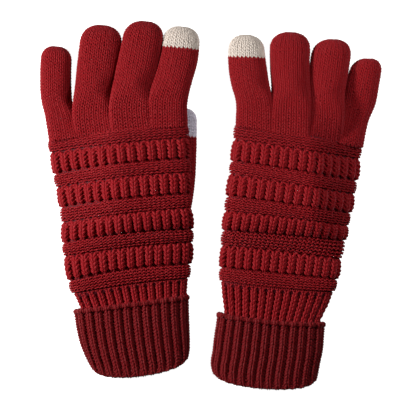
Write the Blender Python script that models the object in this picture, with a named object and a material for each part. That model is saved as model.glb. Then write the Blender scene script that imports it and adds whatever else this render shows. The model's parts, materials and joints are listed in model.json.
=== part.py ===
"""A pair of knitted touchscreen gloves, lying side by side with the backs of the hands up.

Each glove is a thick knitted glove over a thin fleece lining. The hand, the two halves of each
finger, the wrist rib and the turned-up cuff are flattened tubes of fabric, and the index finger
and the thumb end in caps of conductive yarn. The thumbs are folded flat under the palms, which
lifts that side of the hand. Every half finger hangs on an empty that sits on its hinge.

All the dimensions below are millimetres, in the frame of the finished pair: X across the pair,
Y towards the fingertips, Z up from the surface that the gloves lie on.
"""

import math

import bmesh
import bpy
import numpy as np
from mathutils import Matrix, Vector

MM = 0.001

# Fabric
KNIT_WALL = 2.2
CUFF_WALL = 3.0
LINING_WALL = 1.2
GAP = 0.3  # between two layers
SEAM = 0.6  # between two pieces that follow each other along a finger
HINGE_GAP = 0.4  # between a round base and the tube behind it

# Half thicknesses, as the gloves lie
FINGER_DEPTH = 7.5
FINGERTIP_DEPTH = 6.9
FINGERTIP_HEIGHT = 7.0  # of a fingertip's middle over the surface
THUMB_DEPTH = 6.0
HAND_DEPTH = 8.0
CUFF_DEPTH = 10.0
WRIST_DEPTH = CUFF_DEPTH - CUFF_WALL - GAP

# Shape
BASE_REACH = 0.6  # how far a round base reaches behind its hinge, in half thicknesses
FLATNESS = 2.3  # power of a finger's rounded section, where 2 is an ellipse
WIDE_FLATNESS = 3.0  # the same for the hand and the cuff
FINGER_SIDES = 12
HAND_SIDES = 24
PALM_LIFT = 2 * THUMB_DEPTH + 0.8  # height of the palm over the folded thumb
LIFT_START_Y, LIFT_END_Y = -42.0, 0.0  # the palm rises between these
INDEX_TIP_LENGTH = 18.0
THUMB_TIP_LENGTH = 20.0
WRIST_INSET = 3.0  # the inner rib ends this far inside the fold of the cuff

# A finger: its knuckle, its middle joint, its tip, and its width at those three places.
LEFT = {
    "name": "left",
    "fingers": {
        "pinky": ((-106.4, 68.2), (-107.8, 89.2), (-107.8, 112.0), (21.8, 22.0, 20.8)),
        "ring": ((-81.2, 71.8), (-78.0, 98.3), (-75.6, 127.3), (25.6, 27.4, 26.4)),
        "middle": ((-54.6, 75.2), (-49.3, 101.8), (-45.8, 129.9), (24.6, 26.2, 25.0)),
        "index": ((-28.0, 78.8), (-21.7, 101.8), (-19.6, 125.6), (24.4, 25.4, 23.6)),
    },
    "thumb": ((-21.3, 10.8), (-19.2, 41.6), (-17.8, 69.5), (21.6, 21.0, 18.6)),
    # The two edges of the hand, from the wrist to the fingers.
    "hand": (
        ((-97.5, -58.4), (-14.6, -48.4)),
        ((-103.2, -29.7), (-10.8, -20.6)),
        ((-103.9, -4.5), (-12.2, 3.8)),
        ((-110.2, 23.4), (-12.9, 33.2)),
        ((-114.1, 48.6), (-14.3, 56.3)),
        ((-116.6, 58.8), (-15.0, 70.6)),
    ),
    "lift_x": (-105.0, -58.0),
    # The wrist's hinge, the middle of the cuff's lower end, where the cuff starts, half widths.
    "wrist": ((-54.6, -63.0), (-48.2, -117.2), 6.5, (40.4, 36.4)),
}
RIGHT = {
    "name": "right",
    "fingers": {
        "index": ((29.4, 78.8), (26.4, 98.6), (25.5, 119.7), (26.0, 26.4, 23.0)),
        "middle": ((56.7, 74.5), (56.0, 97.6), (54.9, 121.4), (23.4, 27.0, 27.0)),
        "ring": ((80.4, 70.3), (83.2, 92.8), (85.0, 116.5), (22.0, 24.8, 24.8)),
        "pinky": ((103.6, 66.8), (107.3, 85.0), (109.5, 103.2), (20.2, 21.8, 20.8)),
    },
    "thumb": ((29.7, 6.6), (34.0, 37.0), (38.5, 66.5), (21.6, 21.0, 18.6)),
    "hand": (
        ((6.3, -57.4), (84.6, -67.2)),
        ((8.0, -26.9), (93.4, -38.1)),
        ((10.1, -1.8), (99.0, -12.9)),
        ((15.0, 31.8), (104.6, 17.8)),
        ((18.2, 56.3), (107.4, 42.3)),
        ((17.0, 71.0), (112.6, 57.0)),
    ),
    "lift_x": (105.0, 68.0),
    "wrist": ((44.7, -71.4), (38.2, -126.0), 8.0, (38.9, 38.9)),
}

RED = (0.19, 0.012, 0.022)
RED_RIB = (0.16, 0.009, 0.018)
BEIGE = (0.62, 0.53, 0.45)
LAVENDER = (0.50, 0.47, 0.50)
FLEECE = (0.11, 0.012, 0.02)


def clear_scene():
    for obj in list(bpy.data.objects):
        bpy.data.objects.remove(obj, do_unlink=True)


def fabric(name, colour, roughness=0.9):
    """A matt textile material."""
    material = bpy.data.materials.get(name) or bpy.data.materials.new(name)
    material.use_nodes = True
    shader = material.node_tree.nodes["Principled BSDF"]
    shader.inputs["Base Color"].default_value = (*colour, 1.0)
    shader.inputs["Roughness"].default_value = roughness
    shader.inputs["Metallic"].default_value = 0.0
    return material


def smoothstep(value, start, end):
    t = np.clip((value - start) / (end - start), 0.0, 1.0)
    return t * t * (3.0 - 2.0 * t)


def palm_lift(glove, x, y):
    """How much the folded thumb raises the hand at a place."""
    across = smoothstep(x, *glove["lift_x"])
    return PALM_LIFT * across * smoothstep(y, LIFT_START_Y, LIFT_END_Y)


def section(half_width, half_depth, sides, power):
    """A flattened round ring with a flat facet on its top and its underside."""
    angles = (np.arange(sides) + 0.5) * 2.0 * np.pi / sides
    x = np.sign(np.cos(angles)) * np.abs(np.cos(angles)) ** (2.0 / power)
    z = np.sign(np.sin(angles)) * np.abs(np.sin(angles)) ** (2.0 / power)
    return half_width * x / x.max(), half_depth * z / z.max()


def hinge_empty(name, start, end, across=None, parent=None):
    """An empty at start whose level X axis is across and whose Y axis points towards end.

    Without across, its X axis is square to the line from start to end.
    """
    along = (Vector(end) - Vector(start)).normalized()
    across = across or along.cross(Vector((0.0, 0.0, 1.0))).normalized()
    along = (along - along.dot(across) * across).normalized()
    turn = Matrix((across, along, across.cross(along))).transposed().to_4x4()
    world = Matrix.Translation(Vector(start) * MM) @ turn
    empty = bpy.data.objects.new(name, None)
    empty.empty_display_size = 10.0 * MM
    bpy.context.scene.collection.objects.link(empty)
    empty.parent = parent
    empty.matrix_basis = parent.matrix_basis.inverted() @ world if parent else world
    return empty


def tube(name, rings, wall, depth, material, parent=None, tip=None):
    """A fabric tube through the rings, which are lists of points in the parent's frame.

    Its wall starts depth below the surface of the rings. A tip point closes its far end.
    """
    shape = bmesh.new()
    loops = [[shape.verts.new(Vector(p) * MM) for p in ring] for ring in rings]
    sides = len(loops[0])
    for near, far in zip(loops, loops[1:]):
        for i in range(sides):
            k = (i + 1) % sides
            shape.faces.new((near[i], far[i], far[k], near[k]))
    if tip is not None:
        top = shape.verts.new(Vector(tip) * MM)
        for i in range(sides):
            shape.faces.new((loops[-1][i], top, loops[-1][(i + 1) % sides]))
    mesh = bpy.data.meshes.new(name)
    shape.to_mesh(mesh)
    shape.free()
    mesh.shade_smooth()
    mesh.materials.append(material)
    obj = bpy.data.objects.new(name, mesh)
    bpy.context.scene.collection.objects.link(obj)
    obj.parent = parent
    shell = obj.modifiers.new("fabric", "SOLIDIFY")
    shell.thickness = wall * MM
    shell.offset = -1.0 - 2.0 * depth / wall
    shell.use_even_offset = True
    shell.use_quality_normals = True
    return obj


def round_base(radius):
    """Places along the axis behind and at a hinge, where the base is part of a circle."""
    return [-BASE_REACH * radius, -0.3 * radius, 0.0]


def segment(start, end, across=None):
    """The length of a segment square to its hinge, and how far it drifts along the hinge."""
    line = Vector(end) - Vector(start)
    along_hinge = line.dot(across) if across else 0.0
    length = math.sqrt(line.length_squared - along_hinge**2)
    return length, along_hinge / length


def finger_ring(y, width, depth, base_radius, drift, base_is_flat=False):
    """One ring of a finger, narrowed to the circle of its base behind the hinge.

    A finger's base is round seen from the side, a thumb's (base_is_flat) seen from above.
    """
    width *= math.sqrt(1.0 + drift**2)
    if y < 0.0:
        narrowed = math.sqrt(base_radius**2 - y**2) / base_radius
        width, depth = (width * narrowed, depth) if base_is_flat else (width, depth * narrowed)
    x, z = section(width, depth, FINGER_SIDES, FLATNESS)
    return [(a + drift * y, y, b) for a, b in zip(x, z)]


def lower_half(name, hinge, run, widths, depth, lies_flat):
    """The open tube between two joints, and its lining. run is what segment gives."""
    length, drift = run
    radius = widths[0] / 2 if lies_flat else depth
    end = length - (widths[1] / 2 if lies_flat else depth) - HINGE_GAP
    places = [*round_base(radius), end]
    half = [np.interp(y, (0.0, length), (widths[0] / 2, widths[1] / 2)) for y in places]
    rings = [finger_ring(y, w, depth, radius, drift, lies_flat) for y, w in zip(places, half)]
    tube(name, rings, KNIT_WALL, 0.0, fabric("red_knit", RED), hinge)
    tube(f"{name}_lining", rings, LINING_WALL, KNIT_WALL + GAP, fabric("fleece", FLEECE), hinge)


def upper_half(name, hinge, run, widths, depths, lies_flat, touch=None):
    """The tube from the last joint to the fingertip, and its lining.

    touch is the length and the material of a cap of conductive yarn, which ends it.
    """
    length, drift = run
    radius = widths[0] / 2 if lies_flat else depths[0]
    dome = min(widths[1] / 2, 0.5 * length)

    def ring(y):
        swell = math.sqrt(max(1.0 - max((y - length + dome) / dome, 0.0) ** 2, 0.0))
        half = np.interp(y, (0.0, length - dome), (widths[0] / 2, widths[1] / 2)) * swell
        deep = np.interp(y, (0.0, length - dome), depths) * swell
        return finger_ring(y, half, deep, radius, drift, lies_flat)

    base = round_base(radius)
    crown = [length - dome * (1.0 - math.sin(math.radians(a))) for a in (0, 32, 60)]
    red = fabric("red_knit", RED)
    tip = (drift * length, length, 0.0)
    fleece = fabric("fleece", FLEECE)
    lining = [ring(y) for y in base + crown]
    tube(f"{name}_lining", lining, LINING_WALL, KNIT_WALL + GAP, fleece, hinge, tip)
    if touch is None:
        tube(name, lining, KNIT_WALL, 0.0, red, hinge, tip)
        return
    reach, yarn = touch
    start = length - reach
    body = [ring(y) for y in (*base, start - SEAM)]
    tube(name, body, KNIT_WALL, 0.0, red, hinge)
    cap = [ring(y) for y in (start, *crown)]
    tube(name.replace("upper", "touch_tip"), cap, KNIT_WALL, 0.0, yarn, hinge, tip)


def finger_axis(glove):
    """The level line that all four fingers of a glove fold about, square to their mean direction."""
    runs = [Vector(tip) - Vector(knuckle) for knuckle, _, tip, _ in glove["fingers"].values()]
    mean = sum((run.normalized() for run in runs), Vector((0.0, 0.0))).normalized()
    return Vector((mean.y, -mean.x, 0.0))


def finger(glove, which):
    """A finger in two halves, sloping from the hand's height down to the surface."""
    knuckle, joint, tip, widths = glove["fingers"][which]
    high = HAND_DEPTH + float(palm_lift(glove, *knuckle))
    reach = math.dist(knuckle, joint) + math.dist(joint, tip)
    middle = high + (FINGERTIP_HEIGHT - high) * math.dist(knuckle, joint) / reach
    place = f"{glove['name']}_{which}"
    a, b, c = (*knuckle, high), (*joint, middle), (*tip, FINGERTIP_HEIGHT)
    axis = finger_axis(glove)
    lower = hinge_empty(f"{place}_knuckle_hinge", a, b, axis)
    upper = hinge_empty(f"{place}_middle_hinge", b, c, axis, lower)
    yarn = fabric("beige_conductive_yarn", BEIGE)
    touch = (INDEX_TIP_LENGTH, yarn) if which == "index" else None
    lower_half(f"{place}_lower", lower, segment(a, b, axis), widths[:2], FINGER_DEPTH, False)
    depths = (FINGER_DEPTH, FINGERTIP_DEPTH)
    upper_half(f"{place}_upper", upper, segment(b, c, axis), widths[1:], depths, False, touch)


def thumb(glove):
    """The thumb in two halves, lying flat under the palm. Its joints turn level."""
    root, joint, tip, widths = glove["thumb"]
    place = f"{glove['name']}_thumb"
    a, b, c = ((*point, THUMB_DEPTH) for point in (root, joint, tip))
    lower = hinge_empty(f"{place}_root_hinge", a, b)
    upper = hinge_empty(f"{place}_middle_hinge", b, c, parent=lower)
    touch = (THUMB_TIP_LENGTH, fabric("grey_conductive_yarn", LAVENDER))
    lower_half(f"{place}_lower", lower, segment(a, b), widths[:2], THUMB_DEPTH, True)
    depths = (THUMB_DEPTH, 0.9 * THUMB_DEPTH)
    upper_half(f"{place}_upper", upper, segment(b, c), widths[1:], depths, True, touch)


def hand(glove):
    """The flattened tube of the hand, raised over the thumb, and its lining."""
    rings = []
    for edge, other in glove["hand"]:
        centre = (np.array(edge) + np.array(other)) / 2
        across = np.array(other) - centre
        x, z = section(1.0, HAND_DEPTH, HAND_SIDES, WIDE_FLATNESS)
        plan = centre + x[:, None] * across
        rise = smoothstep(plan[:, 1], LIFT_START_Y, LIFT_END_Y)
        height = CUFF_DEPTH + (HAND_DEPTH - CUFF_DEPTH) * rise + z
        height = height + palm_lift(glove, plan[:, 0], plan[:, 1])
        rings.append([(*p, h) for p, h in zip(plan, height)])
    name = glove["name"]
    tube(f"{name}_hand_knit", rings, KNIT_WALL, 0.0, fabric("red_knit", RED))
    fleece = fabric("fleece", FLEECE)
    tube(f"{name}_hand_lining", rings, LINING_WALL, KNIT_WALL + GAP, fleece)


def cuff(glove):
    """The rib over the wrist and, turned up around it, the outer layer of the cuff."""
    hinge_at, end_at, start, widths = glove["wrist"]
    name = glove["name"]
    length = math.dist(hinge_at, end_at)
    line = (*hinge_at, CUFF_DEPTH), (*end_at, CUFF_DEPTH)
    hinge = hinge_empty(f"{name}_wrist_hinge", *line)
    slider = hinge_empty(f"{name}_cuff_slide", *line, parent=hinge)

    def ring(y, inset, depth):
        half = np.interp(y, (start, length), widths) - inset
        x, z = section(half, depth, HAND_SIDES, WIDE_FLATNESS)
        return [(a, y, b) for a, b in zip(x, z)]

    inner = CUFF_WALL + GAP
    rib = fabric("red_rib", RED_RIB)
    reach = BASE_REACH * WRIST_DEPTH
    base = [
        ring(y, inner, math.sqrt(WRIST_DEPTH**2 - y**2)) for y in (-reach, -0.5 * reach, 0.0)
    ]
    rest = [ring(y, inner, WRIST_DEPTH) for y in (0.5 * length, length - WRIST_INSET)]
    tube(f"{name}_wrist_rib", base + rest, KNIT_WALL, 0.0, rib, hinge)
    outer = [ring(y, 0.0, CUFF_DEPTH) for y in (start, (start + length) / 2, length)]
    tube(f"{name}_turned_cuff", outer, CUFF_WALL, 0.0, rib, slider)


def build():
    clear_scene()
    for glove in (LEFT, RIGHT):
        hand(glove)
        cuff(glove)
        for which in glove["fingers"]:
            finger(glove, which)
        thumb(glove)


build()
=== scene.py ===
"""A pair of dark red knitted touchscreen gloves, lying on a white surface with their backs up.

Every stitch is a loop of yarn. A tube of fabric is worked in rounds: each round is one closed strand
that runs through its stitches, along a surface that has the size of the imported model. Sizes are
millimetres, and those of lamps and camera metres: X across the pair, Y towards the fingertips, Z up.
"""

import json
from functools import partial

import bpy
import numpy as np
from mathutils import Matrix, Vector


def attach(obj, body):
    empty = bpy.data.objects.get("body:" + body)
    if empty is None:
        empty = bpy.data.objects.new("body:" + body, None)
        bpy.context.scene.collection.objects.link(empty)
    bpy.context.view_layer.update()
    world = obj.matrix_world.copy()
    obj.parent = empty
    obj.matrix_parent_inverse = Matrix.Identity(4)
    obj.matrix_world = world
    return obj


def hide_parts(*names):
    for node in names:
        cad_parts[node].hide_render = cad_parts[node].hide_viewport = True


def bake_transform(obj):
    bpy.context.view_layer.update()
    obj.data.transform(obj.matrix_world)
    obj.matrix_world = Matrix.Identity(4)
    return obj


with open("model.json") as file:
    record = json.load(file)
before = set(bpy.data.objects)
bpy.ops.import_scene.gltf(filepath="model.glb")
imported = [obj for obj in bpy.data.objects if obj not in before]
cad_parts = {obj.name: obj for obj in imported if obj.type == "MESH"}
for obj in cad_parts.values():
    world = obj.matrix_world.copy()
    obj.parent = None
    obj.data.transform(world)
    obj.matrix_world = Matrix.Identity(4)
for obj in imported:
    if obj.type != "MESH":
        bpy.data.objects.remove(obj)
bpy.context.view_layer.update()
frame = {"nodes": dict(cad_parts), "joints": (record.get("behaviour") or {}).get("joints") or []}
MM = 0.001
joints = {joint["name"]: joint for joint in frame["joints"]}
turning = {name: joint for name, joint in joints.items() if "pos_m" in joint}
hinges = {name: np.array(joint["pos_m"]) / MM for name, joint in turning.items()}

# ---------------------------------------------------------------------------------------------
# The yarns: soft acrylic of two twisted plies, and the same with fine metal fibre for the pale
# tips that work a touchscreen. The fuzz gives them a matt surface with light, soft edges.
# ---------------------------------------------------------------------------------------------

PLY_PITCH = 3.4  # of yarn for one turn of the twist
PLY_RELIEF = 0.15
FUZZ_SCALE = 2500.0  # per metre: tufts of 0.4 mm, coarser than real fibres, which are too fine to show


def linear(hex_colour):
    """A screen colour as the linear numbers that a shader takes."""
    screen = [int(hex_colour[i : i + 2], 16) / 255 for i in (1, 3, 5)]
    return [c / 12.92 if c <= 0.04045 else ((c + 0.055) / 1.055) ** 2.4 for c in screen] + [1.0]


def add_node(tree, kind, inputs, **settings):
    """A shader node whose inputs are values or other nodes' outputs."""
    node = tree.nodes.new(kind)
    for name, value in settings.items():
        setattr(node, name, value)
    for socket, value in inputs.items():
        if isinstance(value, bpy.types.NodeSocket):
            tree.links.new(value, node.inputs[socket])
        else:
            node.inputs[socket].default_value = value
    return node


def matt_fibre(name, colour, fuzz, sheen):
    """A rough fibre with a sheen on its edges, and its shader's node tree."""
    material = bpy.data.materials.new(name)
    material.use_nodes = True
    shader = material.node_tree.nodes["Principled BSDF"]
    shader.inputs["Base Color"].default_value = linear(colour)
    shader.inputs["Roughness"].default_value = 0.6
    shader.inputs["Specular IOR Level"].default_value = 0.2
    shader.inputs["Sheen Weight"].default_value = sheen
    shader.inputs["Sheen Roughness"].default_value = 0.45
    shader.inputs["Sheen Tint"].default_value = linear(fuzz)
    return material, material.node_tree, shader


def twisted_yarn(name, colour, fuzz, sheen):
    """Two plies: a ridge runs round the strand, once for each ply and turn, under a fine fuzz.

    The UV map "strand" holds the millimetres along the strand and the share of a turn around it.
    """
    material, tree, shader = matt_fibre(name, colour, fuzz, sheen)
    strand = add_node(tree, "ShaderNodeUVMap", {}, uv_map="strand")
    split = add_node(tree, "ShaderNodeSeparateXYZ", {"Vector": strand.outputs["UV"]})
    turn = {0: split.outputs["X"], 1: 1 / PLY_PITCH, 2: split.outputs["Y"]}
    turn = add_node(tree, "ShaderNodeMath", turn, operation="MULTIPLY_ADD")
    angle = {0: turn.outputs[0], 1: 4 * np.pi}
    angle = add_node(tree, "ShaderNodeMath", angle, operation="MULTIPLY")
    ply = add_node(tree, "ShaderNodeMath", {0: angle.outputs[0]}, operation="SINE")
    place = add_node(tree, "ShaderNodeTexCoord", {})
    tufts = {"Vector": place.outputs["Object"], "Scale": FUZZ_SCALE, "Detail": 2.0}
    tufts = add_node(tree, "ShaderNodeTexNoise", tufts)
    relief = {0: ply.outputs[0], 1: tufts.outputs["Fac"]}
    relief = add_node(tree, "ShaderNodeMath", relief, operation="ADD")
    bump = {"Height": relief.outputs[0], "Strength": 0.6, "Distance": PLY_RELIEF * MM}
    bump = add_node(tree, "ShaderNodeBump", bump)
    tree.links.new(bump.outputs["Normal"], shader.inputs["Normal"])
    return material


# Spun acrylic, dyed dark red: a deep colour with a pink edge where light grazes its fuzz.
red_yarn = twisted_yarn("red_acrylic_yarn", colour="#980712", fuzz="#FF8E9C", sheen=0.34)

# ---------------------------------------------------------------------------------------------
# The hands: one tube of acrylic yarn each, knitted from the wrist up. Welts of purl rounds, which
# draw in, stand between puffed bands of rib. They follow each other in one strand of rounds.
# ---------------------------------------------------------------------------------------------

AROUND = 240  # points of a ring
FINE = 4  # rings for each round of knitting
SAMPLES, SIDES = 9, 5  # of the strand, in each stitch and around it
SWING, REACH = 0.29, 0.92  # of a loop to the side in wales, and up and down in rounds
RIB_SPREAD = 0.15  # of the plain wales of a rib over the purl ones, in wales
CROSSING = 1.6  # radians of a stitch, over which it passes from its neighbour's face to its own
# How much the stitches vary: a loop's swing and its place sideways, its reach and its place up
# and down, and its depth.
UNEVEN = (0.12, 0.05, 0.07, 0.09, 0.15)
FACING_UP = 0.7  # height of a surface's normal from which it counts as top, or below 0 as underside

HAND_WALES = 60
WELT_YARN = (0.64, 0.85)  # radius, and how far the loops pass to the front and back
PUFF_YARN = (1.1, 0.95)  # the puffed ribs are worked with a slacker, fuller yarn
PURL_LOOP, PUFF_LOOP = (0.2, 0.68), (0.34, 0.86)  # swing and reach
WELT_ROUNDS, PUFF_ROUNDS = 6, 5
RIB_ROUNDS, COVERED_ROUNDS = 23, 11  # of the wrist, and those of them that the cuff always covers
WRIST_HEIGHT, KNUCKLE_HEIGHT = 10.0, 8.0  # of the middle of the tube over the surface
WRIST_DEPTH, PALM_DEPTH = 7.0, 8.0  # half of the tube's thickness
GROWING_ROUNDS = 5  # the last of the rib, over which it grows from the one to the other
SQUARENESS = 3.0  # of its outline, where 2 is an ellipse
PALM_LIFT = 12.8  # by the thumb, which is folded under the palm
LIFT_START_Y, LIFT_END_Y = -42.0, 0.0

# The rib's end under the cuff, the line up to which the cuff always covers it, and the lines
# between the bands from there up: their heights at the left edge, the middle and the right edge
# of the hand. Then points of its left and right edge, and where the thumb starts to raise it
# and where it lies fully on the thumb.
HANDS = {
    "left": {
        "lines": [
            (-116.0, -114.5, -108.0),
            (-90.0, -84.0, -80.0),
            (-62.7, -55.7, -51.5),
            (-52.2, -43.4, -40.3),
            (-36.6, -30.3, -26.6),
            (-25.6, -18.6, -15.8),
            (-12.8, -6.5, -2.3),
            (-0.9, 5.5, 9.0),
            (11.8, 18.8, 22.3),
            (22.5, 29.8, 33.3),
            (36.0, 42.4, 46.3),
            (45.9, 53.1, 56.7),
        ],
        "left_edge": [
            (-79.6, -117), (-85.4, -102), (-89.0, -90), (-91.4, -75), (-98.0, -58.4),
            (-103.2, -29.7), (-104.6, -6.5), (-110.0, 23.4), (-114.1, 48.6), (-115.8, 64),
        ],
        "right_edge": [
            (-18.6, -108), (-18.0, -97), (-17.2, -84), (-14.6, -68), (-13.2, -48.4),
            (-11.0, -20.6), (-12.6, 3.8), (-13.3, 33.2), (-14.6, 56.3), (-15.2, 72),
        ],
        "lift_x": (-105.0, -58.0),
    },
    "right": {
        "lines": [
            (-118.0, -125.0, -124.0),
            (-92.0, -96.0, -99.0),
            (-53.6, -58.5, -61.3),
            (-42.6, -46.8, -51.0),
            (-28.7, -33.1, -38.7),
            (-16.5, -20.0, -23.8),
            (-4.4, -9.3, -14.9),
            (7.6, 1.5, -4.6),
            (21.6, 14.5, 7.1),
            (31.9, 24.9, 17.9),
            (45.6, 38.6, 31.6),
            (57.3, 50.0, 42.2),
        ],
        "left_edge": [
            (6.2, -118), (7.4, -106), (8.6, -94), (8.6, -78), (6.6, -57.4),
            (7.6, -26.9), (10.1, -1.8), (14.4, 31.8), (17.0, 56.3), (17.6, 72),
        ],
        "right_edge": [
            (71.2, -124), (73.6, -112), (76.0, -100), (78.6, -84), (86.0, -67.2),
            (92.8, -38.1), (98.0, -12.9), (104.0, 17.8), (107.4, 42.3), (111.0, 60),
        ],
        "lift_x": (105.0, 68.0),
    },
}


def smoothstep(value, start, end):
    """0 up to the start, 1 from the end on, and between them 3 t squared less 2 t cubed."""
    t = np.clip((value - start) / (end - start), 0.0, 1.0)
    return t * t * (3.0 - 2.0 * t)


def curve(knots, values, at):
    """Values given at rising knots, joined by a smooth curve through them (cubic Hermite).

    Each knot's slope is the average of the slopes on its two sides.
    """
    knots, values, at = (np.asarray(a, float) for a in (knots, values, at))
    slopes = np.gradient(values, knots, axis=0)
    i = np.clip(np.searchsorted(knots, at) - 1, 0, len(knots) - 2)
    step = knots[i + 1] - knots[i]
    t = (at - knots[i]) / step
    if values.ndim > 1:
        t, step = t[..., None], step[..., None]
    t2, t3 = t * t, t * t * t
    start = (2 * t3 - 3 * t2 + 1) * values[i] + (t3 - 2 * t2 + t) * step * slopes[i]
    return start + (3 * t2 - 2 * t3) * values[i + 1] + (t3 - t2) * step * slopes[i + 1]


def oval(power, other_power=None):
    """A flattened round outline: x goes from 1 to -1 over its top and back under it, z is its height.

    They are the cosine and sine of an angle, each raised to 2 / power, or to 2 / other_power
    where x is negative.
    """
    angle = np.arange(AROUND) / AROUND * 2 * np.pi
    c, s = np.cos(angle), np.sin(angle)
    p = np.where(c > 0, power, other_power or power)
    return np.sign(c) * np.abs(c) ** (2 / p), np.sign(s) * np.abs(s) ** (2 / p)


def evenly(ring):
    """A closed ring of points, moved along itself to stand equal steps apart."""
    closed = np.vstack([ring, ring[:1]])
    lengths = np.r_[0, np.cumsum(np.linalg.norm(np.diff(closed, axis=0), axis=1))]
    steps = np.arange(AROUND) / AROUND * lengths[-1]
    return np.stack([np.interp(steps, lengths, closed[:, k]) for k in range(3)], axis=1)


class Surface:
    """A tube through rings of points, a quarter of a round apart, read by turn and by round."""

    def __init__(self, rings):
        self.table = np.array(rings)
        along = np.gradient(self.table, axis=0)
        turn = np.roll(self.table, -1, axis=1) - np.roll(self.table, 1, axis=1)
        normals = np.cross(along, turn)
        normals /= np.linalg.norm(normals, axis=2, keepdims=True) + 1e-12
        centres = self.table.mean(axis=1, keepdims=True)
        self.normals = normals * np.sign(np.sum(normals * (self.table - centres)))
        girth = np.linalg.norm(turn, axis=2).sum(axis=1)
        self.girth = girth / np.median(girth)

    def at(self, share, rounds):
        """The points and outward normals at a share of a turn and a round, mixed between rings."""
        i = np.clip(rounds * FINE, 0, len(self.table) - 1.001)
        j = (share % 1.0) * AROUND
        i0, j0 = i.astype(int), j.astype(int)
        di, dj = (i - i0)[..., None], (j - j0)[..., None]
        j0, j1 = j0 % AROUND, (j0 + 1) % AROUND
        return [
            (grid[i0, j0] * (1 - dj) + grid[i0, j1] * dj) * (1 - di)
            + (grid[i0 + 1, j0] * (1 - dj) + grid[i0 + 1, j1] * dj) * di
            for grid in (self.table, self.normals)
        ]

    def crowding(self, rounds):
        """1 where the tube is full, and down to 0.4 towards a closed tip, where the stitches crowd."""
        there = np.interp(rounds, np.arange(len(self.girth)) / FINE, self.girth)
        return np.clip(there, 0.4, 1.0)


def mesh_object(name, points, polygons, material, strand=None):
    """A smooth mesh of points in millimetres. polygons are arrays with a row for each face.

    strand gives the UV map of that name, a row for each corner of each face.
    """
    mesh = bpy.data.meshes.new(name)
    loops = np.concatenate([rows.ravel() for rows in polygons])
    totals = np.concatenate([np.full(len(rows), rows.shape[1]) for rows in polygons])
    mesh.vertices.add(len(points))
    mesh.vertices.foreach_set("co", (points * MM).astype(np.float32).ravel())
    mesh.loops.add(len(loops))
    mesh.loops.foreach_set("vertex_index", loops.astype(np.int32))
    mesh.polygons.add(len(totals))
    mesh.polygons.foreach_set("loop_start", np.r_[0, np.cumsum(totals)[:-1]].astype(np.int32))
    mesh.update(calc_edges=True)
    mesh.shade_smooth()
    if strand is not None:
        mesh.uv_layers.new(name="strand").data.foreach_set("uv", strand.astype(np.float32).ravel())
    mesh.materials.append(material)
    obj = bpy.data.objects.new(name, mesh)
    bpy.context.scene.collection.objects.link(obj)
    return obj


def knit(name, surface, rounds, wales, size, face, relief, material=red_yarn, loop=(SWING, REACH)):
    """Rounds of knitting, one closed strand for each, with t going from 0 to 2 pi in each stitch.

    The strand runs up to the head of its loop and down again, as -cos t. It swings sideways as
    sin 2t, which closes the loop at its foot. It passes from the back of the fabric to the front
    and back as -cos 2t in a plain stitch, and the other way round in a purl one. face is 1 for
    plain, -1 for purl and 0 for a rib of one plain and one purl wale. relief gives the fabric's
    height at a wale and a round. Raised relief fades out round the sides, and leaves the underside
    flat on the surface it lies on.
    """
    radius, depth = size
    swing, reach = loop
    random = np.random.default_rng(sum(name.encode()))
    row, wale = np.meshgrid(rounds, np.arange(wales), indexing="ij")
    row, wale = row[..., None], wale[..., None]
    sign = np.where(wale % 2 == 0, 1.0, -1.0) if face == 0 else np.full(wale.shape, float(face))
    before, after = np.roll(sign, 1, axis=1), np.roll(sign, -1, axis=1)
    t = np.arange(SAMPLES) / SAMPLES * 2 * np.pi
    begun, left = np.clip(t / CROSSING, 0, 1), np.clip((2 * np.pi - t) / CROSSING, 0, 1)
    facing = sign * begun * left + (1 - begun) * (before + sign) / 2 + (1 - left) * (after + sign) / 2
    uneven = random.standard_normal((len(UNEVEN), *wale.shape)) * np.sin(t / 2) ** 2
    uneven = uneven * np.reshape(UNEVEN, (-1, 1, 1, 1))
    x = wale + t / (2 * np.pi) + swing * (1 + uneven[0]) * np.sin(2 * t) + uneven[1]
    y = row - reach * (1 + uneven[2]) * np.cos(t) + uneven[3]
    crowding = surface.crowding(y)
    z = -depth * crowding * (1 + uneven[4]) * np.cos(2 * t) * facing
    share = (x - RIB_SPREAD * np.cos(np.pi * x) if face == 0 else x) / wales
    place, normal = surface.at(share, y)
    height = relief(x, y)
    raised = smoothstep(normal[..., 2], -FACING_UP, FACING_UP)
    height = np.minimum(height, 0) + np.maximum(height, 0) * raised
    z += height - radius - depth
    path = (place + z[..., None] * normal).reshape(len(rounds), -1, 3)
    normal = normal.reshape(path.shape)
    thickness = radius * crowding.reshape(path.shape[:2])[..., None, None]
    tangent = np.roll(path, -1, axis=1) - np.roll(path, 1, axis=1)
    steps = np.linalg.norm(tangent, axis=2, keepdims=True)
    side = np.cross(tangent / steps, normal)
    side /= np.linalg.norm(side, axis=2, keepdims=True) + 1e-12
    up = np.cross(side, tangent / steps)
    angle = (np.arange(SIDES) / SIDES * 2 * np.pi)[:, None]
    spokes = np.cos(angle) * up[:, :, None] + np.sin(angle) * side[:, :, None]
    points = path[:, :, None] + thickness * spokes
    n = path.shape[1]
    r, i, s = np.meshgrid(np.arange(len(rounds)), np.arange(n), np.arange(SIDES), indexing="ij")
    corners = ((0, 0), (0, 1), (1, 1), (1, 0))
    quads = [(r * n + (i + di) % n) * SIDES + (s + ds) % SIDES for di, ds in corners]
    run = np.cumsum(np.pad(steps[..., 0] / 2, ((0, 0), (1, 0))), axis=1)
    strand = [np.stack([run[r, i + di], (s + ds) / SIDES], axis=-1) for di, ds in corners]
    quads, strand = np.stack(quads, axis=-1).reshape(-1, 4), np.stack(strand, axis=-2)
    return mesh_object(name, points.reshape(-1, 3), [quads], material, strand)


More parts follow.
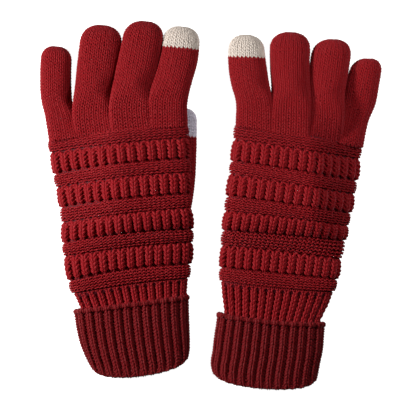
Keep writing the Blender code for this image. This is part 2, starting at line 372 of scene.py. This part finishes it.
def hand_lift(hand, x, y):
    """How much the folded thumb raises the hand at a place."""
    across = smoothstep(x, *hand["lift_x"])
    return PALM_LIFT * across * smoothstep(y, LIFT_START_Y, LIFT_END_Y)


# The round at which each of the lines is reached: the rib, then four puffed bands between welts.
HAND_ROUNDS = [0, COVERED_ROUNDS, RIB_ROUNDS]
for length in (WELT_ROUNDS, PUFF_ROUNDS) * 4 + (WELT_ROUNDS,):
    HAND_ROUNDS.append(HAND_ROUNDS[-1] + length)


def lined_ring(left_edge, right_edge, line, depth, inset=0.0, corner=0.0, height=None):
    """A flattened ring whose plan follows a line through three heights, between two edges.

    x runs over the line from 1 at the right edge to -1, and the line's height is a quadratic in
    it, plus corner times x to the power 10. height gives the middle of the tube over the surface.
    """
    left, middle, right = line
    edges = []
    for edge, at in ((left_edge, left), (right_edge, right)):
        xs, ys = zip(*edge)
        edges.append(curve(ys, xs, at))
    x, z = oval(SQUARENESS)
    plan_x = sum(edges) / 2 + x * ((edges[1] - edges[0]) / 2 - inset)
    plan_y = middle + x * (right - left) / 2 + x**2 * ((left + right) / 2 - middle)
    plan_y = plan_y + corner * x**10
    up = height(plan_x, plan_y) + z * (depth - inset)
    return evenly(np.stack([plan_x, plan_y, up], axis=1))


def hand_rings(hand, rounds, inset=0.0):
    """The hand's rings: thinner at the wrist, and raised over the thumb."""

    def height(x, y):
        drop = (WRIST_HEIGHT - KNUCKLE_HEIGHT) * smoothstep(y, LIFT_START_Y, LIFT_END_Y)
        return WRIST_HEIGHT - drop + hand_lift(hand, x, y)

    rings = []
    for v in rounds:
        line = curve(HAND_ROUNDS, hand["lines"], v)
        fuller = smoothstep(v, RIB_ROUNDS - GROWING_ROUNDS, RIB_ROUNDS)
        depth = WRIST_DEPTH + (PALM_DEPTH - WRIST_DEPTH) * fuller
        edges = hand["left_edge"], hand["right_edge"]
        rings.append(lined_ring(*edges, line, depth, inset, 0, height))
    return rings


def welt_relief(start):
    """A rolled welt: its middle rounds stand higher than the lines above and below.

    It lies 1.3 under the surface and rises by 2 times a half sine over its rounds, to the power
    0.7. It drops under the band above by 1.8 times the share of the way, to the power 8.
    """

    def relief(x, y):
        v = np.clip((y - start) / WELT_ROUNDS, 0, 1)
        return -1.3 + 2.0 * np.sin(np.pi * v) ** 0.7 - 1.8 * v**8

    return relief


def puff_relief(start):
    """A puffed rib: its plain wales are rounded columns, higher than the purl wales between.

    Over the band v goes from 0 to 1. Its swell starts as 1 less e to the -20 v, and ends as 1
    less v to the power 5. From 0.9 under the surface it lifts the plain wales by 3, and the purl
    ones not at all.
    """

    def relief(x, y):
        v = np.clip((y - start) / PUFF_ROUNDS, 0, 1)
        swell = (1 - np.exp(-v / 0.05)) * (1 - v**5)
        return -0.9 + swell * (1.5 + 1.5 * np.sin(np.pi * x))

    return relief


hand_surfaces = {}
for glove, hand in HANDS.items():
    rounds = np.arange(0, HAND_ROUNDS[-1] * FINE + 1) / FINE
    surface = hand_surfaces[glove] = Surface(hand_rings(hand, rounds))
    for k, (start, end) in enumerate(zip(HAND_ROUNDS[2:], HAND_ROUNDS[3:])):
        puffed = k % 2 == 1
        # The bands are numbered from the fingers down.
        name = f"{glove}_puff_{4 - k // 2}" if puffed else f"{glove}_welt_{5 - k // 2}"
        face, relief = (0, puff_relief(start)) if puffed else (-1, welt_relief(start))
        size, loop = (PUFF_YARN, PUFF_LOOP) if puffed else (WELT_YARN, PURL_LOOP)
        rows = np.arange(start, end) + 0.5
        band = knit(name, surface, rows, HAND_WALES, size, face, relief, loop=loop)
        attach(band, f"{glove}_hand")
        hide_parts(f"{glove}_hand_knit")

# ---------------------------------------------------------------------------------------------
# The rib over each wrist: the same strand of rounds, drawn in by its rib. It is one piece above
# the cuff, and carries on under it as a piece that goes with the wrist.
# ---------------------------------------------------------------------------------------------

RIB_YARN = (0.95, 0.85)
BEND = RIB_ROUNDS - 7  # the round up to which the rib goes with the wrist


def wrist_relief(x, y):
    """The rib lies 2.3 under the surface of the tube. Its columns are a sine of 1.3."""
    return -2.3 + 1.3 * np.sin(np.pi * x)


for glove in HANDS:
    hinge, surface = hinges[f"{glove}_wrist_bend"], hand_surfaces[glove]
    along = np.array(joints[f"{glove}_cuff_unroll"]["axis"])
    rows = np.arange(BEND, RIB_ROUNDS) + 0.5
    rib = knit(f"{glove}_rib_zone", surface, rows, HAND_WALES, RIB_YARN, 0, wrist_relief)
    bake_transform(rib)
    rows = np.arange(0, BEND) + 0.5
    rib = knit(f"{glove}_wrist_rib", surface, rows, HAND_WALES, RIB_YARN, 0, wrist_relief)
    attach(rib, f"{glove}_wrist")
    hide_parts(f"{glove}_wrist_rib")

# ---------------------------------------------------------------------------------------------
# Each cuff: a deep rib that is turned up over the wrist, so its cast-on edge is at the top. It
# ends below in the rounded fold, and goes on up inside it.
# ---------------------------------------------------------------------------------------------

# The cast-on edge and the fold, as heights at the left edge, the middle and the right edge of the
# cuff. Then points of its left and right edge.
CUFFS = {
    "left": {
        "top": (-73.4, -68.3, -63.0),
        "bottom": (-119.5, -120.6, -112.0),
        "left_edge": [
            (-80.5, -123), (-85.0, -113), (-90.2, -100), (-93.2, -87), (-94.9, -74), (-95.4, -66),
        ],
        "right_edge": [
            (-15.8, -117), (-13.9, -108), (-13.5, -97), (-13.9, -84), (-14.2, -74), (-14.4, -60),
        ],
    },
    "right": {
        "top": (-75.2, -80.6, -82.3),
        "bottom": (-122.5, -129.3, -127.0),
        "left_edge": [
            (2.6, -125), (0.6, -112.4), (1.8, -104), (3.2, -91.4), (5.0, -78.8), (5.6, -70),
        ],
        "right_edge": [
            (75.0, -130), (77.6, -112.4), (79.3, -104), (80.4, -91.4), (81.1, -78.8), (81.3, -72),
        ],
    },
}
CUFF_WALES, CUFF_ROUNDS = 54, 22
FOLDED_ROUNDS = 5  # that go on round the fold and up inside it
CUFF_DEPTH = 10.0  # half of the cuff's thickness, as it rests on the surface
FOLD_RADIUS = 2.4
FOLD_CORNER = 3.0  # how much higher the fold is at its two corners
RIM_YARN = (1.15, 0.35)
RIM_LOOP = (0.06, 0.3)  # swing and reach: the cast-on edge is flat loops, side by side
RIM_ROUNDS = np.array([0.35, 0.75])  # two strands, close together

# The same acrylic in a tight rib, which shades itself, with a fainter edge. Its deeper red is painted
# shade: the cuffs are the same yarn, only lit less.
painted_shade_rib_yarn = twisted_yarn("red_acrylic_painted_shade_rib_yarn", colour="#78050C", fuzz="#FF8E9C", sheen=0.2)


def cuff_rings(cuff, rounds, inset=0.0):
    """Down the outside of the cuff, round the fold in a half circle, and up inside it."""
    rings = []
    pitch = (cuff["top"][1] - cuff["bottom"][1]) / CUFF_ROUNDS
    for v in rounds:
        past = max(v - CUFF_ROUNDS, 0.0) * pitch
        turn = min(past / FOLD_RADIUS, np.pi)
        radius = FOLD_RADIUS - inset
        drawn_in = FOLD_RADIUS - radius * np.cos(turn)
        beyond = radius * np.sin(turn) - max(past - np.pi * FOLD_RADIUS, 0.0)
        down = min(v / CUFF_ROUNDS, 1.0)
        line = np.array(cuff["top"]) * (1 - down) + np.array(cuff["bottom"]) * down
        line = line - beyond + FOLD_RADIUS * down
        rings.append(
            lined_ring(
                cuff["left_edge"], cuff["right_edge"], line, CUFF_DEPTH, drawn_in,
                corner=FOLD_CORNER * down, height=lambda x, y: CUFF_DEPTH,
            )
        )
    return rings


def cuff_relief(x, y):
    """Columns of 1.1, as a sine, 0.4 under the surface. They flatten to 0.2 at the fold."""
    ribbed = 1.1 - 0.9 * smoothstep(y, CUFF_ROUNDS - 4, CUFF_ROUNDS + 1)
    return ribbed * np.sin(np.pi * x) - 0.4


def rim_relief(x, y):
    """The cast-on edge stands out by 0.8, 0.5 more on a plain wale and 0.5 less on a purl one."""
    return 0.8 + 0.5 * np.sin(np.pi * x)


# Both cuffs and their cast-on edges take the rib yarn whose deeper red is painted shade.
for glove, cuff in CUFFS.items():
    last = CUFF_ROUNDS + FOLDED_ROUNDS
    surface = Surface(cuff_rings(cuff, np.arange(0, last * FINE + 1) / FINE))
    rows = np.arange(1, last) + 0.5
    turned = knit(f"{glove}_turned_cuff", surface, rows, CUFF_WALES, RIB_YARN, 0, cuff_relief, painted_shade_rib_yarn)
    name = f"{glove}_cast_on_edge"
    rim = knit(name, surface, RIM_ROUNDS, CUFF_WALES, RIM_YARN, 1, rim_relief, painted_shade_rib_yarn, RIM_LOOP)
    for piece in (turned, rim):
        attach(piece, f"{glove}_cuff")
        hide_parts(f"{glove}_turned_cuff")

# ---------------------------------------------------------------------------------------------
# The fingers: plain tubes of the same yarn, a little tighter. They rise side by side out of the
# top welt, part at the knuckles, and are drawn together at the tips. The index fingers end in
# caps of beige yarn that conducts.
# ---------------------------------------------------------------------------------------------

FINGER_YARN = (0.65, 0.8)
FINGER_WALE, FINGER_ROUND = 3.05, 2.1
ROOT_DEPTH, FINGER_DEPTH, FINGERTIP_DEPTH, FINGERTIP_HEIGHT = 7.6, 7.5, 6.9, 7.0
ROOT_DROP = 2.0  # of a finger's first round under the line of the top welt
ROOT_OVERLAP = 1.8  # of two neighbours there, which are one fabric
WEB_OVERLAP = 1.4  # of them where they part
INDEX_TIP_LENGTH = 18.0
SPLIT = 8.0  # of a finger's two halves, before its middle joint
BLUNTNESS = 0.9  # of a fingertip: power of the sine and cosine that shape it
DOME_RUN = 1.45  # angle of a fingertip's dome up to which it is worked, just short of its top
WEB = 0.8  # share of the way from the root to the knuckle where neighbours still touch
FREE_SIDE, SHARED_SIDE = 2.8, 7.0  # squareness of a finger's sides at its root
KNUCKLE_BEND, MIDDLE_BEND = 8.0, 7.0  # distances from the knuckle and the middle hinge along a finger

# Undyed yarn spun with metal fibre: a pale beige with a faint white edge.
beige_yarn = twisted_yarn("beige_conductive_yarn", colour="#EADCD0", fuzz="#FFFFFF", sheen=0.15)

# For each finger its left and right side where it leaves the hand, the same where it parts from
# its neighbours, its width at the knuckle, the middle joint and the tip, how far its tip leans to
# the right and reaches on, and its side that stands free of a neighbour.
FINGERS = {
    "left": {
        "pinky": ((-112.6, -92.6), (-115.9, -95.0), (22.8, 22.6, 22.4), (0.9, 0.9), "left"),
        "ring": ((-92.6, -67.2), (-94.8, -69.0), (29.2, 29.8, 30.6), (1.2, 0.4), ""),
        "middle": ((-67.2, -41.0), (-68.6, -42.0), (29.6, 29.4, 28.2), (1.5, 0.6), ""),
        "index": ((-41.0, -14.8), (-41.6, -14.9), (27.8, 27.6, 25.6), (1.0, 1.2), "right"),
    },
    "right": {
        "index": ((17.8, 43.2), (17.6, 42.8), (27.4, 27.4, 24.0), (0.2, 1.3), "left"),
        "middle": ((43.2, 68.2), (43.2, 69.2), (28.4, 28.4, 30.2), (2.0, 1.4), ""),
        "ring": ((68.2, 90.6), (69.4, 93.0), (27.4, 28.4, 28.6), (2.0, 1.4), ""),
        "pinky": ((90.6, 107.8), (93.2, 112.6), (24.0, 24.0, 22.0), (-3.0, 2.6), "right"),
    },
}


class Finger:
    """The rings of a tube that follows stations and ends in a dome, by its rounds.

    A station is a place, half of the width as a vector, half of the depth and the squareness of
    the right and the left side. Between stations all of them follow smooth curves. The dome is a
    quarter of a blunted ellipse: its rings shrink as the cosine of an angle while they go on as
    its sine, each to the power BLUNTNESS.
    """

    def __init__(self, stations, course):
        rows = np.array([np.concatenate([np.atleast_1d(part) for part in row]) for row in stations])
        steps = np.linalg.norm(np.diff(rows[:, :3], axis=0), axis=1)
        self.knots, self.rows = np.r_[0, np.cumsum(steps)], rows
        self.length = self.knots[-1]
        self.course = course
        self.dome = np.linalg.norm(rows[-1, 3:6])
        self.rounds = (self.length - self.dome + self.dome * DOME_RUN) / course

    def round_at(self, distance):
        """The round at a distance along the finger."""
        straight = self.length - self.dome
        if distance < straight:
            return distance / self.course
        return (straight + self.dome * np.arcsin((distance - straight) / self.dome)) / self.course

    def rings(self, rounds, inset=0.0):
        """The rings at these rounds. An inset makes the tube smaller by that much on every side."""
        found = []
        for v in rounds:
            run = v * self.course
            angle = max(run - self.length + self.dome, 0.0) / self.dome
            radius = self.dome - inset
            rise, swell = np.sin(angle) ** BLUNTNESS, np.cos(angle) ** BLUNTNESS
            distance = min(run, self.length - self.dome) + radius * rise
            here = curve(self.knots, self.rows, np.array([distance]))[0]
            centre, across, depth = here[:3], here[3:6], here[6]
            width = np.linalg.norm(across)
            across = across / width * (width - inset) * swell
            x, z = oval(here[7], here[8])
            ring = centre + x[:, None] * across
            ring[:, 2] += z * (depth - inset) * swell
            found.append(evenly(ring))
        return found


def tip_of(node, hinge):
    """The point of a CAD node that is farthest from a hinge."""
    points = np.array([v.co for v in frame["nodes"][node].data.vertices]) / MM
    return points[np.argmax(np.linalg.norm(points - hinge, axis=1))]


def plain(x, y):
    """A fabric without relief."""
    return 0.0 * y


def length_of(ring):
    """The length of a ring of points, but for the step that closes it."""
    return np.linalg.norm(np.diff(ring, axis=0), axis=1).sum()


fingers = {}
for glove, hand in HANDS.items():
    top = hand_surfaces[glove].table[-1]
    for which, (root, web, widths, lean, free) in FINGERS[glove].items():
        name = f"{glove}_{which}"
        knuckle, middle = hinges[f"{name}_knuckle_bend"], hinges[f"{name}_middle_bend"]
        end = f"{name}_touch_tip" if which == "index" else f"{name}_upper"
        tip = tip_of(end, middle)
        tip = np.array((tip[0] + lean[0], tip[1] + lean[1], FINGERTIP_HEIGHT))
        axis = np.array(joints[f"{name}_knuckle_bend"]["axis"])
        axis = axis * np.sign(axis[0])
        along = (middle - knuckle) / np.linalg.norm(middle - knuckle)
        # The back of the hand's last ring, from left to right, which the finger rises from.
        front = top[top[:, 2] > KNUCKLE_HEIGHT + 1.0 + hand_lift(hand, top[:, 0], top[:, 1])]
        front = front[np.argsort(front[:, 0])]
        shared = np.array([-1.0 * (free != "left"), 1.0 * (free != "right")])
        root, web = np.array(root) + ROOT_OVERLAP * shared, np.array(web) + WEB_OVERLAP * shared
        ys = np.interp(root, front[:, 0], front[:, 1]) - ROOT_DROP
        ends = [np.array((x, y, KNUCKLE_HEIGHT + hand_lift(hand, x, y))) for x, y in zip(root, ys)]
        apart = sum(ends) / 2 * (1 - WEB) + knuckle * WEB
        apart[0] = sum(web) / 2
        spread = (ends[1] - ends[0]) / 2 * (1 - WEB) + axis * (web[1] - web[0]) / 2 * WEB
        spread[0] = (web[1] - web[0]) / 2
        squareness = [FREE_SIDE if side == free else SHARED_SIDE for side in ("right", "left")]
        # The root, where the fingers part, the knuckle, the middle joint and the tip.
        stations = [
            (sum(ends) / 2, (ends[1] - ends[0]) / 2, ROOT_DEPTH, squareness),
            (apart, spread, FINGER_DEPTH, [0.5 * s + 1.5 for s in squareness]),
            (knuckle + 3.0 * along, axis * widths[0] / 2, FINGER_DEPTH, [2.5, 2.5]),
            (middle, axis * widths[1] / 2, FINGER_DEPTH, [2.3, 2.3]),
            (tip, axis * widths[2] / 2, FINGERTIP_DEPTH, [2.2, 2.2]),
        ]
        finger = Finger(stations, FINGER_ROUND)
        surface = Surface(finger.rings(np.arange(0, int(finger.rounds * FINE) + 1) / FINE))
        fingers[name] = finger
        wales = round(np.median([length_of(ring) for ring in surface.table]) / FINGER_WALE)
        rows = np.arange(0, int(finger.rounds)) + 0.5
        split = round(finger.round_at(finger.knots[3] - SPLIT))
        cap = len(rows)
        if which == "index":
            cap = round(finger.round_at(finger.length - INDEX_TIP_LENGTH))
        lower = knit(f"{name}_lower", surface, rows[:split], wales, FINGER_YARN, 1, plain)
        reach = KNUCKLE_BEND * along
        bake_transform(lower)
        upper = knit(f"{name}_upper", surface, rows[split:cap], wales, FINGER_YARN, 1, plain)
        reach = MIDDLE_BEND * (tip - middle) / np.linalg.norm(tip - middle)
        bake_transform(upper)
        for piece, half in ((lower, "lower"), (upper, "upper")):
            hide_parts(f"{name}_{half}")
        if which == "index":
            cap = knit(f"{name}_touch_tip", surface, rows[cap:], wales, FINGER_YARN, 1, plain, beige_yarn)
            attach(cap, f"{name}_end")
            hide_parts(f"{name}_touch_tip")

# ---------------------------------------------------------------------------------------------
# The thumbs: plain tubes that leave the palm at its edge, folded flat under the hand. Their tips
# are of grey yarn that conducts, and the left one looks out beside the index finger.
# ---------------------------------------------------------------------------------------------

THUMB_DEPTH = 6.0
THUMB_WIDTHS = (21.6, 21.0, 18.6)
THUMB_TIP_LENGTH = 20.0
THUMB_WALES = 18
ROOT_BEND = (10.0, 7.0)  # distances before and after the thumb's root hinge
THUMB_BEND = 8.0

# The same kind of yarn in a cool grey, nearly white in full light. It is painted paler than the yarn is:
# painted light on the thumb tips, which lie in the hands' shade.
grey_yarn_with_painted_light = twisted_yarn("grey_conductive_yarn", colour="#F0EEFC", fuzz="#FFFFFF", sheen=0.15)

thumbs = {}
for glove in HANDS:
    name = f"{glove}_thumb"
    root, middle = hinges[f"{name}_swing"], hinges[f"{name}_bend"]
    tip_name = f"{name}_touch_tip"
    tip = tip_of(tip_name, middle)
    tip[2] = THUMB_DEPTH
    along = (middle - root) / np.linalg.norm(middle - root)
    beyond = (tip - middle) / np.linalg.norm(tip - middle)
    across = np.array((along[1], -along[0], 0.0))
    inwards = -3.0 if glove == "left" else 3.0
    # Two stations inside the palm, as the thumb leaves it, and then the root, the middle and the tip.
    thumb = Finger(
        [
            (root - 30 * along + (inwards, 0, 7.5), across * 9.0, 4.5, [2.5, 2.5]),
            (root - 14 * along + (inwards / 3, 0, 2.5), across * 10.4, 5.6, [2.4, 2.4]),
            (root, across * THUMB_WIDTHS[0] / 2, THUMB_DEPTH, [2.3, 2.3]),
            (middle, across * THUMB_WIDTHS[1] / 2, THUMB_DEPTH, [2.3, 2.3]),
            (tip, across * THUMB_WIDTHS[2] / 2, 0.9 * THUMB_DEPTH, [2.2, 2.2]),
        ],
        FINGER_ROUND,
    )
    thumbs[name] = thumb
    surface = Surface(thumb.rings(np.arange(0, int(thumb.rounds * FINE) + 1) / FINE))
    rows = np.arange(0, int(thumb.rounds)) + 0.5
    split = round(thumb.round_at(thumb.knots[3] - SPLIT))
    cap = round(thumb.round_at(thumb.length - THUMB_TIP_LENGTH))
    lower = knit(f"{name}_lower", surface, rows[:split], THUMB_WALES, FINGER_YARN, 1, plain)
    start, stop = (root - ROOT_BEND[0] * along) * MM, (root + ROOT_BEND[1] * along) * MM
    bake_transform(lower)
    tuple(start)
    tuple(stop)
    upper = knit(f"{name}_upper", surface, rows[split:cap], THUMB_WALES, FINGER_YARN, 1, plain)
    start, stop = (middle - THUMB_BEND * along) * MM, (middle + THUMB_BEND * beyond) * MM
    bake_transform(upper)
    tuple(start)
    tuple(stop)
    # The tip, in the grey yarn painted paler as light where the hand shades it.
    end = knit(tip_name, surface, rows[cap:], THUMB_WALES, FINGER_YARN, 1, plain, grey_yarn_with_painted_light)
    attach(end, f"{name}_end")
    for piece, half in ((lower, "lower"), (upper, "upper"), (end, "touch_tip")):
        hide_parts(f"{name}_{half}")

# ---------------------------------------------------------------------------------------------
# The linings: a thin glove of brushed red fleece inside each knitted one. Inside the wrist rib and
# the cuffs, where there is no lining, a sheet of the same dark fleece is painted shade in the gaps.
# ---------------------------------------------------------------------------------------------

# How deep the outer face lies under the surface of the knitted tube, and the wall.
LINING, RIB_BACKING, CUFF_BACKING = (2.6, 1.1), (4.5, 0.8), (2.3, 0.8)
NAP_SCALE = 900.0  # per metre: tufts of about 1 mm
NAP_RELIEF = 0.4
EVERY = 3  # a lining takes one in three of a ring's points

# Polyester fleece with a brushed nap: dark and soft, with a paler edge. Inside the ribs, where there is no
# lining, it is painted shade.
red_fleece_and_painted_shade, tree, shader = matt_fibre("red_fleece_and_painted_shade", "#5A0B17", "#E86A7A", 0.3)
place = add_node(tree, "ShaderNodeTexCoord", {})
nap = {"Vector": place.outputs["Object"], "Scale": NAP_SCALE, "Detail": 4.0}
nap = add_node(tree, "ShaderNodeTexNoise", nap)
nap = {"Height": nap.outputs["Fac"], "Strength": 0.6, "Distance": NAP_RELIEF * MM}
nap = add_node(tree, "ShaderNodeBump", nap)
tree.links.new(nap.outputs["Normal"], shader.inputs["Normal"])


def lining(name, outer, inner, closed=False):
    """A wall between two tubes of rings. They are joined at both ends, or capped at a closed tip."""
    outer, inner = np.array(outer)[:, ::EVERY], np.array(inner)[:, ::EVERY]
    rings, count = outer.shape[:2]
    i, j = np.meshgrid(np.arange(rings - 1), np.arange(count), indexing="ij")
    k = (j + 1) % count
    corners = [i * count + j, (i + 1) * count + j, (i + 1) * count + k, i * count + k]
    outside = np.stack(corners, axis=-1).reshape(-1, 4)
    inside = outside[:, ::-1] + rings * count
    j, k = np.arange(count), (np.arange(count) + 1) % count
    first, last = rings * count, (rings - 1) * count
    start = np.stack([j, k, first + k, first + j], axis=-1)
    polygons = [outside, inside, start]
    if closed:
        polygons += [(last + j)[None], (first + last + j[::-1])[None]]
    else:
        end = [last + k, last + j, first + last + j, first + last + k]
        polygons.append(np.stack(end, axis=-1))
    points = np.concatenate([outer.reshape(-1, 3), inner.reshape(-1, 3)])
    a, b, c = (points[outside[:, corner]] for corner in range(3))
    if np.sum(np.cross(b - a, c - a) * (a - points.mean(axis=0))) < 0:
        polygons = [rows[:, ::-1] for rows in polygons]
    return mesh_object(name, points, polygons, red_fleece_and_painted_shade)


def walls(rings, first, last, size=LINING):
    """The outer and the inner rings of a lining, one for each round."""
    rounds, (depth, wall) = np.arange(first, last + 1), size
    return rings(rounds, depth), rings(rounds, depth + wall)


for glove, hand in HANDS.items():
    rings = partial(hand_rings, hand)
    bag = lining(f"{glove}_hand_lining", *walls(rings, RIB_ROUNDS - 1, HAND_ROUNDS[-1]))
    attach(bag, f"{glove}_hand")
    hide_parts(f"{glove}_hand_lining")
    # A sheet of the dark fleece inside the wrist rib: painted shade behind its stitches.
    back = lining(f"{glove}_rib_painted_shade_backing", *walls(rings, 0, RIB_ROUNDS + 1, RIB_BACKING))
    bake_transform(back)
    rings = partial(cuff_rings, CUFFS[glove])
    # The same painted shade inside the cuff.
    back = lining(f"{glove}_cuff_painted_shade_backing", *walls(rings, 1, CUFF_ROUNDS, CUFF_BACKING))
    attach(back, f"{glove}_cuff")

for name, finger in [*fingers.items(), *thumbs.items()]:
    glove, thumb = name.split("_")[0], name in thumbs
    bends = ("swing", "bend") if thumb else ("knuckle_bend", "middle_bend")
    knuckle, middle = (hinges[f"{name}_{bend}"] for bend in bends)
    along = (middle - knuckle) / np.linalg.norm(middle - knuckle)
    split, reach = round(finger.round_at(finger.knots[3] - SPLIT)), MIDDLE_BEND * along
    lower = lining(f"{name}_lower_lining", *walls(finger.rings, 0, split))
    start = (knuckle - (ROOT_BEND[0] if thumb else KNUCKLE_BEND) * along) * MM
    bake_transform(lower)
    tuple(start)
    shell = walls(finger.rings, split, int(finger.rounds))
    upper = lining(f"{name}_upper_lining", *shell, closed=True)
    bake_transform(upper)
    for piece, half in ((lower, "lower"), (upper, "upper")):
        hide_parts(f"{name}_{half}_lining")

# ---------------------------------------------------------------------------------------------
# The surface under the gloves, the light and the camera.
# ---------------------------------------------------------------------------------------------

FLOOR_SIZE, FLOOR_HEIGHT = 900.0, -0.7  # half of its side, and just under the lowest stitches
CAMERA_X, CAMERA_Y = -6.65, 3.85  # millimetres
CAMERA_HEIGHT, FIELD = 2.0, 0.28  # metres, and the metres across the picture at the gloves
GLOVES_HEIGHT = 0.01  # metres, about that of the backs of the hands

# Matt white card, lit evenly: to the camera it is plain white, and its bounce is soft.
white = bpy.data.materials.new("white_paper")
white.use_nodes = True
paper = white.node_tree.nodes["Principled BSDF"]
paper.inputs["Base Color"].default_value = linear("#F8F8F8")
paper.inputs["Roughness"].default_value = 0.9
paper.inputs["Emission Color"].default_value = linear("#FFFFFF")
seen = add_node(white.node_tree, "ShaderNodeLightPath", {})
white.node_tree.links.new(seen.outputs["Is Camera Ray"], paper.inputs["Emission Strength"])
corners = [(x * FLOOR_SIZE, y * FLOOR_SIZE, FLOOR_HEIGHT) for x, y in ((-1, -1), (1, -1), (1, 1), (-1, 1))]
floor = mesh_object("floor", np.array(corners), [np.array([[0, 1, 2, 3]])], white)

world = bpy.data.worlds.new("studio")
world.use_nodes = True
world.node_tree.nodes["Background"].inputs["Color"].default_value = (1.0, 0.98, 0.96, 1.0)
world.node_tree.nodes["Background"].inputs["Strength"].default_value = 0.02
bpy.context.scene.world = world


def lamp(name, place, power, size):
    """A square soft light that faces the gloves, with its power in watts."""
    light = bpy.data.lights.new(name, "AREA")
    light.energy, light.size = power, size
    obj = bpy.data.objects.new(name, light)
    obj.location = place
    obj.rotation_euler = (-Vector(place)).to_track_quat("-Z", "Y").to_euler()
    bpy.context.scene.collection.objects.link(obj)


# A low window at the left, and a white wall at the right that gives back a little of its light.
lamp("window", (-0.8, 0.16, 0.46), 9.8, 0.16)
lamp("reflector", (0.24, 0.2, 0.28), 0.55, 0.15)

camera_data = bpy.data.cameras.new("camera")
camera_data.sensor_width = 36.0
camera_data.lens = camera_data.sensor_width * (CAMERA_HEIGHT - GLOVES_HEIGHT) / FIELD
camera_data.clip_end = 10.0
camera = bpy.data.objects.new("camera", camera_data)
camera.location = (CAMERA_X * MM, CAMERA_Y * MM, CAMERA_HEIGHT)
bpy.context.scene.collection.objects.link(camera)
bpy.context.scene.camera = camera
bpy.context.scene.view_settings.view_transform = "Standard"
